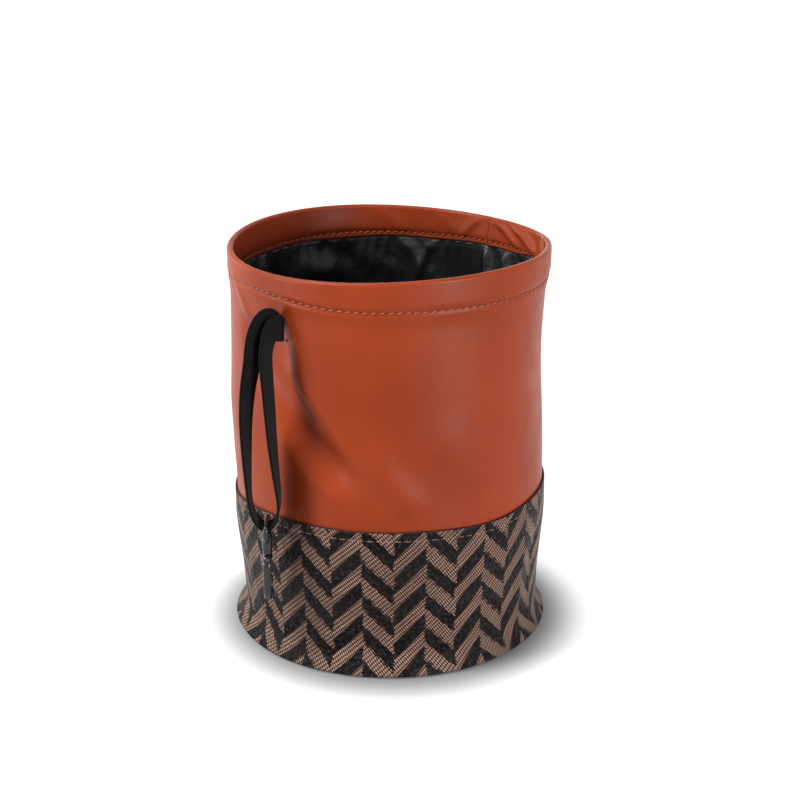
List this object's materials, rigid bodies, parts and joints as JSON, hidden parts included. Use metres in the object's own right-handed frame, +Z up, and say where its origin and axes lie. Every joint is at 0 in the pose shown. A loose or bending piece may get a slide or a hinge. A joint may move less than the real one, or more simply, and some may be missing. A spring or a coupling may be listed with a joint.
{
  "type": "car trash bin",
  "caption": "Soft round car trash bin of tan leather-look sheet with a printed lower band, black lining, and a hanging strap loop with a swivel snap hook.",
  "frame": {"origin": "centre of the base, on the surface it stands on", "axes": "+Z up to the rim; the strap hangs at the front left, towards -X and -Y"},
  "size_m": [0.164, 0.164, 0.2],
  "materials": {
    "tan_leather": "fine grain with a soft sheen",
    "printed_leather": "printed herringbone on a pebbled grain",
    "base_leather": "pebbled grain",
    "hoop_plastic": "matte",
    "board_plastic": "matte",
    "black_nylon": "thin woven lining with a sheen",
    "label_weave": "dense satin weave",
    "black_webbing": "woven webbing",
    "black_metal": "gloss black",
    "pin_steel": "bare"
  },
  "bodies": {
    "bin": {"upper_panel": "tan_leather", "rim_hoop": "hoop_plastic", "lower_band": "printed_leather", "base_panel": "base_leather", "base_board": "board_plastic", "lining_wall": "black_nylon", "lining_floor": "black_nylon", "lining_label": "label_weave", "strap_loop": "black_webbing"},
    "eye": {"hook_eye": "black_metal"},
    "hook": {"hook_body": "black_metal", "gate_pin": "pin_steel", "gate_spring": "pin_steel"},
    "gate": {"hook_gate": "black_metal"}
  },
  "joints": [
    {"name": "eye_swing", "type": "hinge", "parent": "bin", "child": "eye", "pos_m": [-0.0588, -0.0705, 0.07895], "axis": [0, 1, 0], "range_deg": [-8, 70]},
    {"name": "hook_swivel", "type": "hinge", "parent": "eye", "child": "hook", "pos_m": [-0.0588, -0.0705, 0.06395], "axis": [0, 0, 1], "continuous": true},
    {"name": "gate_press", "type": "hinge", "parent": "hook", "child": "gate", "pos_m": [-0.0588, -0.0671, 0.05815], "axis": [-1, 0, 0], "range_deg": [0, 20], "stiffness_Nm_per_rad": 0.002, "springref_deg": -11.46}
  ]
}
